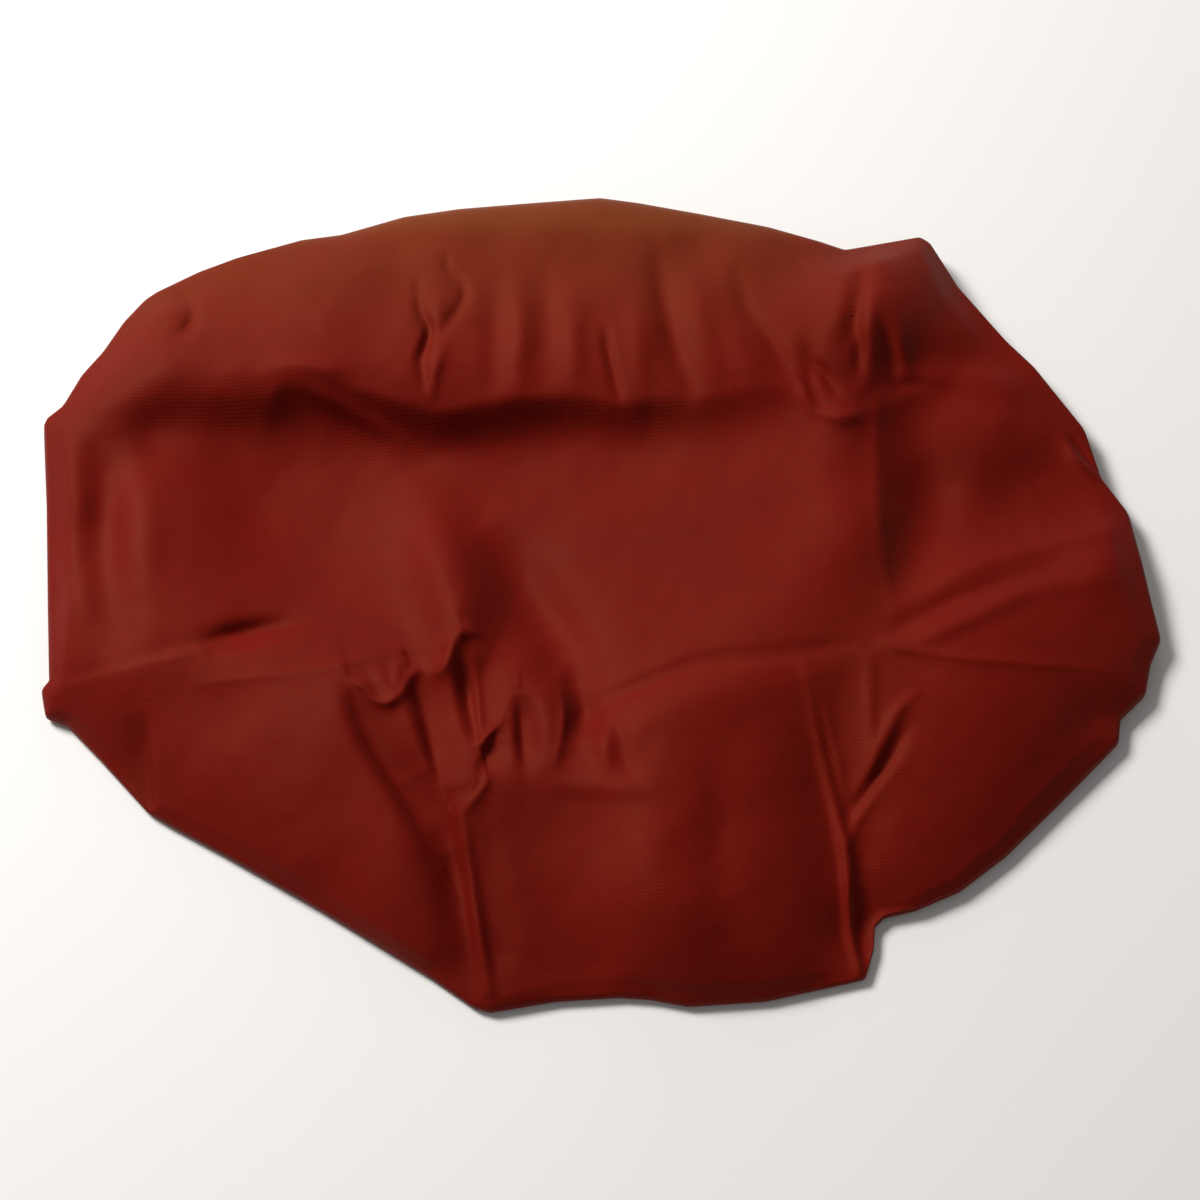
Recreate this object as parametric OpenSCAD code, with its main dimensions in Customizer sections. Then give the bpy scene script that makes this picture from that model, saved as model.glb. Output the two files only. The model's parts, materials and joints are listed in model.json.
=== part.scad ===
// One-piece spray skirt for a kayak cockpit, laid down hem side under.
// A single cloth deck is rolled under at its rim and gathered into an elastic
// hem: a casing strip with a shock cord inside and a webbing release loop.
// Millimetres. Origin: centre of the footprint, on the surface it lies on.
// +X runs along the cover towards the bow end, +Z is up.

/* [Deck] */
// Length of the cover as it lies, along X
deck_len = 890; // [800:10:980]
// Width of the cover as it lies, along Y
deck_wid = 698; // [630:10:770]
// Height of the puffed rim above the floor
rim_h = 90; // [75:1:100]
// Height of the sunken middle of the deck
mid_h = 50; // [42:1:60]
// Thickness of the cloth as a solid
cloth_t = 2; // [1.5:0.1:2]

/* [Elastic hem] */
// Half length of the hem oval, to the middle of the casing
hem_a = 340; // [320:5:345]
// Half width of the hem oval, to the middle of the casing
hem_b = 250; // [240:5:252]
// Radius of the hem oval's ends
hem_end_r = 200; // [185:5:210]
// Outer width of the casing tube
tube_w = 19; // [18:0.5:21]
// Height of the casing tube
tube_h = 12; // [11.5:0.5:14]
// Thickness of the casing strip
strip_t = 1; // [0.8:0.1:1]
// Width of the sewn flange outside the tube
flange_w = 12.5; // [11:0.5:14]

/* [Shock cord] */
// Outer diameter of the shock cord with its sheath
cord_d = 6.2; // [5:0.1:6.4]
// Diameter of the rubber core
core_d = 4.6; // [3.6:0.1:4.8]
// Angle of the end arc over which the cord's ends lie side by side
overlap_deg = 12; // [10:1:14]

/* [Release loop] */
// Width of the webbing
web_w = 25; // [20:1:30]

/* [Hidden] */
// thickness of one layer of webbing
web_t = 1.5;
$fn = 96;
eps = 0.02;

// ---- the hem oval: two end arcs and two side arcs that meet tangentially ----
end_c = hem_a - hem_end_r;                                  // centre of the end arcs
side_d = (end_c * end_c - pow(hem_b - hem_end_r, 2)) / (2 * (hem_b - hem_end_r));
side_r = hem_b + side_d;                                    // radius of the side arcs
join_ang = atan2(side_d, end_c);                            // direction where the arcs meet
join_x = end_c + hem_end_r * cos(join_ang);
join_y = hem_end_r * sin(join_ang);

// distance from the origin to the oval, offset outwards by o, in direction a
function oval_r(a, o = 0) =
    let (x = abs(cos(a)), y = abs(sin(a)), r1 = hem_end_r + o, r2 = side_r + o,
         jx = end_c + r1 * cos(join_ang), jy = r1 * sin(join_ang))
    atan2(y, x) < atan2(jy, jx)
        ? end_c * x + sqrt(r1 * r1 - end_c * end_c * y * y)
        : -side_d * y + sqrt(r2 * r2 - side_d * side_d * x * x);

module oval2d(o) {
    intersection() {
        translate([0, -side_d]) circle(side_r + o, $fn = 256);
        translate([0, side_d]) circle(side_r + o, $fn = 256);
        union() {
            for (s = [-1, 1]) translate([s * end_c, 0]) circle(hem_end_r + o, $fn = 192);
            square([2 * (end_c + (hem_end_r + o) * cos(join_ang)), 4 * hem_b], center = true);
        }
    }
}

// flat ring that follows the oval, from offset i to offset o, z0 to z1
module ring(i, o, z0, z1) {
    translate([0, 0, z0]) linear_extrude(z1 - z0) difference() {
        oval2d(o);
        oval2d(i);
    }
}

// ---- the rim's outline as it lies: direction in degrees, distance in mm ----
outline = [
    [0, 436], [4, 434], [8, 425], [12, 413], [16, 419], [20, 417], [24, 411], [28, 408],
    [36, 405], [44, 409], [48, 416], [52, 372], [60, 358], [68, 351], [80, 347], [88, 349.2],
    [92, 349], [108, 357], [116, 366], [128, 394], [136, 411], [140, 430], [144, 451],
    [148, 450], [156, 452], [160, 457], [164, 462.9], [168, 452], [172, 444], [180, 432],
    [188, 430], [192, 434], [196, 441], [200, 417], [212, 386], [224, 352], [244, 339],
    [252, 352], [256, 359.7], [264, 343], [272, 338], [280, 349], [292, 364], [300, 378],
    [304, 371], [308, 352], [316, 374], [328, 391], [340, 425], [348, 442], [352, 449.4],
    [356, 443], [360, 436]];
// height of the raised crest of the rim, direction in degrees
crest_z = [[0, 62], [40, 66], [60, 72], [90, 80], [130, 76], [170, 62], [200, 66],
           [235, 84], [255, 90], [275, 86], [290, 88], [310, 84], [335, 70], [360, 62]];
// how far out the crest sits, as a part of the outline's distance
crest_f = [[0, 0.86], [60, 0.8], [75, 0.76], [105, 0.76], [150, 0.84], [180, 0.86], [205, 0.7],
           [235, 0.52], [270, 0.42], [300, 0.5], [330, 0.74], [360, 0.86]];

sx = deck_len / 890;
sy = deck_wid / 698;
out_n = 90;
function rim_r(a) = lookup(a, outline) * sqrt(pow(sx * cos(a), 2) + pow(sy * sin(a), 2));
function rim_z(a) = lookup(a, crest_z) * rim_h / 90;
function smooth(t) = t * t * (3 - 2 * t);

// one radial section of the deck, from the hem under the rim to the middle:
// each entry is [distance, height, inward part, upward part] of the outer face
function deck_section(a) =
    let (r = rim_r(a), h = oval_r(a, tube_w / 2 + 0.6), hf = oval_r(a, tube_w / 2 + flange_w + 1),
         z = rim_z(a), f = lookup(a, crest_f), zm = tube_h - 1 - cloth_t + eps,
         tt = (cloth_t - 2 * eps) / cloth_t)
    concat(
        [[h, zm, 0, tt], [hf, zm, 0, tt],
         [hf + (r - hf) * 0.45, 4.5, 0, 1], [r - 16, 2, 0, 1], [r - 5, 4, -0.6, 0.8],
         [r - 1, 9, -1, 0.3], [r, 15, -1, 0], [r - 2, 23, -1, -0.2]],
        [for (k = [0.2, 0.4, 0.6, 0.8, 1])
            [r * (1 - (1 - f) * k) - 2 * (1 - k), 23 + (z - 23) * sin(90 * k), -0.6 * (1 - k), -0.8 - 0.2 * k]],
        [for (k = [0.25, 0.5, 0.75, 1])
            [r * (f - (f - 0.25) * k), z + (mid_h * lookup(a, mid_k) - z) * smooth(k), 0, -1]],
        [[r * 0.12, mid_h + (mid_h * lookup(a, mid_k) - mid_h) * 0.5, 0, -1]]);
// the middle is lower on its far side and rises to the near side
mid_k = [[0, 1], [90, 0.85], [180, 1], [270, 1.15], [360, 1]];

module deck_cloth() {
    secs = [for (i = [0:out_n - 1]) deck_section(i * 360 / out_n)];
    m = len(secs[0]);
    outer = [for (i = [0:out_n - 1]) let (a = i * 360 / out_n) for (p = secs[i])
        [p[0] * cos(a), p[0] * sin(a), p[1]]];
    inner = [for (i = [0:out_n - 1]) let (a = i * 360 / out_n) for (p = secs[i])
        [(p[0] + p[2] * cloth_t) * cos(a), (p[0] + p[2] * cloth_t) * sin(a), p[1] + p[3] * cloth_t]];
    pts = concat(outer, inner, [[0, 0, mid_h], [0, 0, mid_h - cloth_t]]);
    no = out_n * m;
    function o(i, k) = (i % out_n) * m + k;
    function n(i, k) = no + (i % out_n) * m + k;
    faces = concat(
        [for (i = [0:out_n - 1]) for (k = [0:m - 2]) each [
            [o(i, k), o(i, k + 1), o(i + 1, k + 1)], [o(i, k), o(i + 1, k + 1), o(i + 1, k)],
            [n(i, k), n(i + 1, k + 1), n(i, k + 1)], [n(i, k), n(i + 1, k), n(i + 1, k + 1)]]],
        [for (i = [0:out_n - 1]) each [
            [o(i, m - 1), 2 * no, o(i + 1, m - 1)], [n(i, m - 1), n(i + 1, m - 1), 2 * no + 1],
            [o(i, 0), o(i + 1, 0), n(i + 1, 0)], [o(i, 0), n(i + 1, 0), n(i, 0)]]]);
    color([0.46, 0.11, 0.08]) polyhedron(pts, faces, convexity = 8);
}

// casing strip: a closed tube for the cord and a double flange for the cloth's edge
module hem_casing() {
    w = tube_w / 2;
    color([0.40, 0.10, 0.07]) difference() {
        ring(-w, w + flange_w, 0, tube_h);
        ring(-w + strip_t, w - strip_t, strip_t, tube_h - strip_t);
        ring(w, w + flange_w + 1, -1, tube_h - 2 * strip_t - cloth_t);
        ring(w + 0.5, w + flange_w + 1, tube_h - strip_t - cloth_t, tube_h - strip_t);
    }
}

// a row of lockstitch: needle thread above the flange, bobbin thread below it
module stitch_row(o) {
    ring(o - 0.4, o + 0.4, tube_h, tube_h + 0.5);
    ring(o - 0.4, o + 0.4, tube_h - 2 * strip_t - cloth_t - 0.5, tube_h - 2 * strip_t - cloth_t);
}
module casing_stitch_inner() { color([0.12, 0.05, 0.04]) stitch_row(tube_w / 2 + 3); }
module casing_stitch_outer() { color([0.12, 0.05, 0.04]) stitch_row(tube_w / 2 + 9); }

// ---- the shock cord's route: once round the casing, ends side by side at the stern ----
lane = cord_d / 2 + 0.12;
cord_z = tube_h / 2 - 0.4;
// point of the oval at offset o whose outward normal points in direction a
function oval_pt(a, o) =
    let (q = (a % 360 + 360) % 360, c = cos(q), s = sin(q), r1 = hem_end_r + o, r2 = side_r + o)
    abs(c) > cos(join_ang) ? [(c > 0 ? end_c : -end_c) + r1 * c, r1 * s]
                           : [r2 * c, (s > 0 ? -side_d : side_d) + r2 * s];
start_a = 180 - overlap_deg / 2;
turn = 360 + overlap_deg;
// the first stretch lies on the inner lane and crosses to the outer lane past the overlap
function lane_at(t) = t < overlap_deg + 2 ? -lane : t > overlap_deg + 14 ? lane
    : -lane + 2 * lane * smooth((t - overlap_deg - 2) / 12);
steps = concat([for (t = [0:3:30]) t], [for (t = [36:6.5:342]) t], [for (t = [345:3:360]) t], [360 + overlap_deg / 2, turn]);
route = [for (t = steps) let (p = oval_pt(start_a + t, lane_at(t))) [p[0], p[1], cord_z]];

function ring_pts(k, r, n) =
    let (p = route[k], q = k == 0 ? route[1] - route[0] : k == len(route) - 1
         ? route[k] - route[k - 1] : route[k + 1] - route[k - 1],
         s = [q[1], -q[0], 0] / norm(q))
    [for (j = [0:n - 1]) p + r * (cos(360 * j / n) * s + sin(360 * j / n) * [0, 0, 1])];

module cord_tube(r, n = 10) {
    l = len(route);
    pts = [for (k = [0:l - 1]) each ring_pts(k, r, n)];
    polyhedron(pts, concat(
        [for (k = [0:l - 2]) for (j = [0:n - 1])
            [k * n + j, k * n + (j + 1) % n, (k + 1) * n + (j + 1) % n, (k + 1) * n + j]],
        [[for (j = [n - 1:-1:0]) j], [for (j = [0:n - 1]) (l - 1) * n + j]]), convexity = 6);
}

module cord_pipe(r, ri, n = 10) {
    l = len(route);
    pts = concat([for (k = [0:l - 1]) each ring_pts(k, r, n)], [for (k = [0:l - 1]) each ring_pts(k, ri, n)]);
    b = l * n;
    polyhedron(pts, concat(
        [for (k = [0:l - 2]) for (j = [0:n - 1]) each [
            [k * n + j, k * n + (j + 1) % n, (k + 1) * n + (j + 1) % n],
            [k * n + j, (k + 1) * n + (j + 1) % n, (k + 1) * n + j],
            [b + k * n + j, b + (k + 1) * n + (j + 1) % n, b + k * n + (j + 1) % n],
            [b + k * n + j, b + (k + 1) * n + j, b + (k + 1) * n + (j + 1) % n]]],
        [for (j = [0:n - 1]) each [
            [j, b + j, b + (j + 1) % n], [j, b + (j + 1) % n, (j + 1) % n],
            [(l - 1) * n + j, (l - 1) * n + (j + 1) % n, b + (l - 1) * n + (j + 1) % n],
            [(l - 1) * n + j, b + (l - 1) * n + (j + 1) % n, b + (l - 1) * n + j]]]), convexity = 6);
}

module cord_core() { color([0.85, 0.80, 0.68]) cord_tube(core_d / 2); }
module cord_sheath() { color([0.09, 0.09, 0.10]) cord_pipe(cord_d / 2, core_d / 2 + 0.06); }

// hog rings: flat wire clinched round both cord ends
module cord_crimps() {
    iw = cord_d * 2 + 0.6;
    ih = cord_d + 0.3;
    color([0.75, 0.76, 0.78]) for (a = [-3.2, 3.2])
        translate([-end_c, 0, cord_z]) rotate([0, 0, a]) translate([-hem_end_r, 0, 0])
            rotate([90, 0, 0]) linear_extrude(2.4, center = true) difference() {
                slot2d(iw + 2, ih + 2);
                slot2d(iw, ih);
            }
}
module slot2d(w, h) {
    square([w - h, h], center = true);
    for (s = [-1, 1]) translate([s * (w - h) / 2, 0]) circle(h / 2, $fn = 48);
}

// ---- release loop at the bow end ----
root_x = hem_a - tube_w / 2 - 2.5;           // bend line of the webbing
root_z = tube_h + web_t;                     // middle of the two layers

module grab_loop_root() {
    color([0.10, 0.10, 0.11]) translate([root_x + web_t + 0.1, -web_w / 2, tube_h])
        cube([32, web_w, 2 * web_t]);
}

// the free loop droops inwards to the floor and folds back on itself at its tip
module grab_loop() {
    color([0.10, 0.10, 0.11]) translate([root_x, 0, root_z]) rotate([90, 0, 0])
        linear_extrude(web_w, center = true) mirror([1, 0]) difference() {
            union() {
                circle(1.5, $fn = 48);
                polygon([[0, -1.5], [13, -1.5], [20, -3], [30, -8], [38, -11.5], [46, -13], [56, -13.3],
                         [95, -13.3], [104, -12.4], [110, -9.5], [112.5, -5.5], [110.5, -1.5],
                         [104, 1], [94, 2], [70, 2.4], [40, 2.2], [13, 1.5], [0, 1.5]]);
            }
            polygon([[17, -0.3], [21, -1.7], [31, -6.6], [39, -10.1], [47, -11.6], [56, -11.8],
                     [95, -11.8], [103, -11], [108, -8.7], [110.8, -5.5], [109, -2.5], [103.5, -0.5],
                     [94, 0.5], [70, 0.9], [40, 0.7], [20, 0.3]]);
        }
}

module grab_patch() {
    zf = tube_h - 2 * strip_t - cloth_t;
    color([0.40, 0.10, 0.07]) difference() {
        translate([hem_a - 10, -22, zf - 0.8]) cube([30, 44, 0.8]);
        translate([0, 0, zf - 2]) linear_extrude(3) oval2d(tube_w / 2 + 0.1);
    }
}

// dense bars of thread through the webbing, the hem and the patch
module grab_loop_bartack() {
    zf = tube_h - 2 * strip_t - cloth_t - 0.8;
    color([0.75, 0.74, 0.70]) for (x = [hem_a + 12, hem_a + 18]) {
        translate([x - 1, -web_w / 2 + 2, tube_h + 2 * web_t]) cube([2, web_w - 4, 0.5]);
        translate([x - 1, -web_w / 2 + 2, zf - 0.5]) cube([2, web_w - 4, 0.5]);
    }
}

deck_cloth();
hem_casing();
casing_stitch_inner();
casing_stitch_outer();
cord_sheath();
cord_core();
cord_crimps();
grab_loop();
grab_loop_root();
grab_loop_bartack();
grab_patch();
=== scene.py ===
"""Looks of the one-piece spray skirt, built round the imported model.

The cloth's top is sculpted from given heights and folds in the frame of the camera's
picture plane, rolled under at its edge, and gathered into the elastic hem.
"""

import json
import math

import bmesh
import bpy
import numpy as np
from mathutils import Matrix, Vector

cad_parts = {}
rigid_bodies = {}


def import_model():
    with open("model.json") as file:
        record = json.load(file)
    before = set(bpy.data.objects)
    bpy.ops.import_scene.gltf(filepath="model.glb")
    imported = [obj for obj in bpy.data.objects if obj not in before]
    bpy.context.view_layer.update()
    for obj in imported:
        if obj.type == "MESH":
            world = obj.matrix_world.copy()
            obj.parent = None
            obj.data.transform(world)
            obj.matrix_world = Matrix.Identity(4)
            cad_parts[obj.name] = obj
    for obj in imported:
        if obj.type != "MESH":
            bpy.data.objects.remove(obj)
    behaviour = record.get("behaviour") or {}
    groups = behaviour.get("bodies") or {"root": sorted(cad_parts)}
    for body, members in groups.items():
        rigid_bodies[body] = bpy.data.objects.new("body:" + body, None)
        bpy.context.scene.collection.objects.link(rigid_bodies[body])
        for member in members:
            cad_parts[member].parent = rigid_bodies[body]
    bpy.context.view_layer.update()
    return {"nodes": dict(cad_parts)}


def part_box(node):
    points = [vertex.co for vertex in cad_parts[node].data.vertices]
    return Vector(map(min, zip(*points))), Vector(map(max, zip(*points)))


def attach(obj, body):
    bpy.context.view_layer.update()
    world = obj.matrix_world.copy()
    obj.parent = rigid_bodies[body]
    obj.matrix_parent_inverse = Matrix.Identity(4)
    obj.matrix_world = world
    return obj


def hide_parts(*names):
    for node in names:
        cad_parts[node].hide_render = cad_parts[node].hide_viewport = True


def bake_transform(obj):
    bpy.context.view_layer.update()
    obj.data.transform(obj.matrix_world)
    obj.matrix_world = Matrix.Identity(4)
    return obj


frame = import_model()
rng = np.random.default_rng(7)

def tps_fit(pts):
    p = np.array(pts, float)
    xy, z = p[:, :2] / 100.0, p[:, 2]
    d2 = ((xy[:, None, :] - xy[None, :, :]) ** 2).sum(-1)
    n = len(p)
    A = np.zeros((n + 3, n + 3))
    A[:n, :n] = np.where(d2 > 0, 0.5 * d2 * np.log(d2 + 1e-12), 0) + np.eye(n) * 0.02
    A[:n, n] = 1
    A[:n, n + 1:] = xy
    A[n:, :n] = A[:n, n:].T
    return xy, np.linalg.solve(A, np.concatenate([z, [0, 0, 0]]))


def tps_eval(fit, u, v):
    xy, w = fit
    n = len(xy)
    q = np.stack([u, v], -1).reshape(-1, 2) / 100.0
    out = np.empty(len(q))
    for i in range(0, len(q), 20000):
        s = q[i:i + 20000]
        d2 = ((s[:, None, :] - xy[None, :, :]) ** 2).sum(-1)
        out[i:i + 20000] = (0.5 * d2 * np.log(d2 + 1e-12)) @ w[:n] + w[n] + s @ w[n + 1:]
    return out.reshape(np.shape(u))


def smooth01(t):
    t = np.clip(t, 0, 1)
    return t * t * (3 - 2 * t)


def along(pts, u, v):
    """Nearest point of a line: signed distance (left of its run is positive), place along it, carried value."""
    best = np.full(u.shape, 1e9)
    sgn = np.ones(u.shape)
    s_at = np.zeros(u.shape)
    val = np.zeros(u.shape)
    s0 = 0.0
    for a, b in zip(pts[:-1], pts[1:]):
        dx, dy = b[0] - a[0], b[1] - a[1]
        L = math.hypot(dx, dy) or 1e-6
        t = np.clip(((u - a[0]) * dx + (v - a[1]) * dy) / (L * L), 0, 1)
        ex, ey = u - (a[0] + t * dx), v - (a[1] + t * dy)
        d = np.hypot(ex, ey)
        m = d < best - 1e-9
        best = np.where(m, d, best)
        # v runs down the picture, so the left of the run is where this is positive
        sgn = np.where(m, np.sign(dy * ex - dx * ey) + (dy * ex - dx * ey == 0), sgn)
        s_at = np.where(m, s0 + t * L, s_at)
        val = np.where(m, a[2] + (b[2] - a[2]) * t, val)
        s0 += L
    return best * sgn, s_at, val, s0


def curve(pts, n=6):
    """The same line with rounded turns (Catmull-Rom through its points)."""
    if len(pts) < 3:
        return pts
    p = np.array(pts, float)
    q = np.vstack([2 * p[0] - p[1], p, 2 * p[-1] - p[-2]])
    out = []
    for i in range(1, len(q) - 2):
        for t in np.arange(n) / n:
            out.append(0.5 * (2 * q[i] + (q[i + 1] - q[i - 1]) * t
                              + (2 * q[i - 1] - 5 * q[i] + 4 * q[i + 1] - q[i + 2]) * t * t
                              + (3 * q[i] - q[i - 1] - 3 * q[i + 1] + q[i + 2]) * t ** 3))
    out.append(q[-2])
    return [tuple(r) for r in out]


def fold_height(kind, w, pts, u, v):
    pts = curve(pts, 4)
    p = np.array(pts)
    h = np.zeros(u.shape)
    if kind == "c":
        lv = np.interp(u, p[:, 0], p[:, 1])
        x = np.arange(-100.0, 1301.0, 4.0)
        k = np.exp(-(np.arange(-24, 25) * 4.0 / 26.0) ** 2)
        a = np.interp(x, p[:, 0], p[:, 2], left=0, right=0)
        a = np.interp(u, x, np.convolve(a, k / k.sum(), "same"))
        d = lv - v
        return a * np.where(d > 0, 1.0, np.exp(-np.abs(d / w) ** 1.6))
    box = 3.0 * w + 6 if kind in "rosp" else 6 * w + 6
    m = ((u > p[:, 0].min() - box) & (u < p[:, 0].max() + box)
         & (v > p[:, 1].min() - box) & (v < p[:, 1].max() + box))
    if not m.any():
        return h
    d, s, a, L = along(pts, u[m], v[m])
    if kind == "r":
        g = np.exp(-(d / w) ** 2)
    elif kind == "k":
        g = np.exp(-(np.sqrt(d * d + 2.0 ** 2) - 2.0) / w)
    elif kind == "p":
        q = 0.30 * w
        g = np.where(d > 0, -np.exp(-(d / w) ** 2),
                     np.where(-d < q, -1 + 1.5 * smooth01(-d / q), 0.5 * np.exp(-((-d - q) / (0.9 * w)) ** 2)))
    elif kind == "s":
        g = np.exp(-(d / np.where(d > 0, w, 0.3 * w)) ** 2)
    else:
        g = np.where(d > 0, np.exp(-(d / w) ** 2), np.exp(-(d / max(3.5, 0.14 * w)) ** 2))
    # fade out past the line's ends
    h[m] = a * g
    return h


def outline_curve(step=2.5):
    """The outline as a closed, evenly spaced line: u, v, height, roll width; corners rounded a little."""
    p = np.array(OUTLINE, float)
    q = np.vstack([p, p[:1]])
    seg = np.hypot(*(q[1:, :2] - q[:-1, :2]).T)
    s = np.concatenate([[0], np.cumsum(seg)])
    n = int(round(s[-1] / step))
    t = np.arange(n) * s[-1] / n
    c = np.stack([np.interp(t, s, q[:, k]) for k in range(4)], 1)
    for _ in range(3):
        c = 0.25 * np.roll(c, 1, 0) + 0.5 * c + 0.25 * np.roll(c, -1, 0)
    return c


def top_height(u, v, edge_d, edge_z, edge_w, base_fit):
    """Height in mm of the cloth's top, with its edge rolled down to the outline's height."""
    z = tps_eval(base_fit, u, v)
    for f in FOLDS:
        z = z + fold_height(f[0], f[1], f[2], u, v)
    z = 6.0 + np.logaddexp(0, (z - 6.0) / 3.0) * 3.0
    t = np.clip(edge_d / np.maximum(edge_w, 1), 0, 1)
    g = np.sqrt(np.clip(1 - (1 - t) ** 2, 0, 1))
    g = 0.75 * g + 0.25 * smooth01(t)
    return edge_z + (z - edge_z) * g

# The cover's top is described in the frame of the camera's picture plane (1200 by 1200
# units): a height above the floor at each place, from given heights and folds.
CAM_ELEV, CAM_DIST, CAM_LENS = math.radians(65.0), 1.9, 72.5
CAM_AIM = np.array([0.005, -0.025, 0.03])
CAM_FWD = np.array([0.0, math.cos(CAM_ELEV), -math.sin(CAM_ELEV)])
CAM_UP = np.array([0.0, math.sin(CAM_ELEV), math.cos(CAM_ELEV)])
CAM_POS = CAM_AIM - CAM_FWD * CAM_DIST
KPX = 1200.0 * CAM_LENS / 36.0


def to_world(u, v, z):
    """Where the sight line through (u, v) is z metres above the floor."""
    u, v, z = np.broadcast_arrays(np.asarray(u, float), np.asarray(v, float), np.asarray(z, float))
    d = (CAM_FWD[None, :] + np.array([1.0, 0, 0])[None, :] * ((u.ravel() - 600) / KPX)[:, None]
         - CAM_UP[None, :] * ((v.ravel() - 600) / KPX)[:, None])
    t = (z.ravel() - CAM_POS[2]) / d[:, 2]
    return (CAM_POS[None, :] + d * t[:, None]).reshape(u.shape + (3,))


# outline of the cover: u, v, height of the cloth there (mm), width of the rolled edge
OUTLINE = [
    (45, 420, 30, 22), (63, 406, 31, 24), (82, 375, 32, 28), (103, 352, 33, 30), (124, 322, 34, 30),
    (145, 300, 34, 24), (157, 292, 34, 26), (199, 272, 34, 34), (237, 258, 35, 40), (302, 240, 35, 44),
    (341, 235, 35, 46), (404, 217, 35, 48), (459, 209, 35, 50), (520, 204, 35, 50), (600, 198, 35, 50),
    (638, 203, 35, 50), (700, 214, 35, 46), (768, 227, 35, 42), (818, 241, 35, 34), (845, 250, 34, 26),
    (880, 244, 30, 20), (920, 237, 26, 12), (930, 243, 28, 14), (958, 287, 25, 22), (1006, 341, 22, 24),
    (1034, 367, 23, 30), (1084, 429, 21, 26), (1101, 478, 19, 24), (1128, 513, 19, 26), (1141, 560, 25, 26),
    (1151, 602, 22, 24), (1160, 637, 18, 16), (1150, 661, 16, 18), (1145, 691, 15, 20), (1120, 716, 14, 18),
    (1118, 740, 13, 20), (1060, 800, 11, 22), (1006, 853, 11, 16), (960, 888, 11, 13), (916, 907, 11, 12),
    (884, 915, 10, 12), (874, 925, 9, 12), (873, 948, 9, 12), (865, 977, 8, 10), (825, 986, 8, 16),
    (765, 999, 8, 20), (688, 1004, 8, 22), (650, 997, 8, 22), (619, 995, 8, 22), (555, 999, 8, 20),
    (490, 1010, 8, 10), (475, 1006, 8, 12), (430, 975, 8, 14), (318, 906, 9, 18), (220, 850, 9, 20),
    (166, 821, 9, 14), (148, 810, 9, 12), (100, 757, 10, 18), (66, 722, 10, 12), (46, 715, 10, 8),
    (42, 689, 14, 8), (50, 680, 20, 14), (49, 600, 26, 24), (48, 500, 29, 24)]

BASE = [
    (200, 300, 44), (300, 262, 36), (400, 245, 31), (500, 235, 30), (600, 228, 30), (700, 240, 31),
    (800, 262, 36), (880, 262, 57), (930, 280, 46), (150, 340, 50), (230, 330, 52), (320, 315, 44),
    (420, 300, 37), (520, 290, 36), (620, 285, 38), (720, 290, 42), (800, 300, 52), (865, 310, 70),
    (960, 330, 38), (905, 330, 56), (100, 395, 48), (160, 372, 58), (240, 368, 56), (300, 365, 47), (400, 385, 36),
    (520, 385, 34), (620, 385, 34), (700, 382, 37), (780, 368, 44), (850, 380, 50), (900, 365, 44),
    (960, 372, 29), (1030, 385, 26), (95, 430, 49), (150, 430, 37), (230, 430, 30), (300, 436, 24), (360, 446, 19),
    (430, 450, 16), (520, 446, 19), (620, 444, 24), (700, 436, 32), (780, 428, 40), (850, 430, 46),
    (75, 500, 44), (75, 600, 44), (110, 520, 45), (150, 520, 50), (200, 520, 39), (250, 520, 21),
    (320, 510, 14), (370, 520, 16), (70, 680, 30), (120, 640, 50), (200, 600, 48), (260, 590, 34),
    (330, 590, 24), (150, 600, 51), (490, 520, 22), (600, 520, 30), (700, 520, 39), (800, 520, 48),
    (858, 520, 54), (510, 600, 28), (600, 600, 38), (700, 600, 46), (800, 600, 55), (620, 660, 46),
    (700, 640, 51), (900, 500, 40), (950, 500, 29), (1010, 505, 19), (1080, 520, 23), (1110, 560, 40),
    (940, 430, 39), (1000, 420, 38), (1060, 450, 25), (900, 590, 44), (1000, 600, 46), (1100, 620, 37),
    (950, 640, 52), (1030, 660, 48), (1110, 680, 30), (120, 690, 40), (200, 700, 42), (300, 690, 52),
    (350, 690, 56), (100, 730, 22), (200, 780, 30), (300, 790, 44), (350, 800, 47), (190, 815, 18),
    (300, 860, 28), (400, 910, 33), (400, 850, 45), (424, 890, 38), (430, 950, 23), (440, 720, 52), (520, 740, 52), (600, 750, 54),
    (680, 720, 60), (760, 700, 55), (840, 700, 46), (520, 820, 39), (600, 830, 44), (660, 820, 58),
    (780, 800, 48), (722, 830, 52), (732, 900, 47), (520, 900, 28), (600, 900, 34), (680, 900, 52), (780, 900, 39), (540, 970, 15),
    (600, 965, 15), (680, 970, 27), (800, 960, 25), (920, 700, 48), (980, 720, 48), (1050, 720, 38),
    (1100, 715, 20), (920, 800, 36), (980, 800, 32), (1040, 795, 21), (910, 870, 25), (950, 855, 24),
    (850, 900, 31)]

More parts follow.
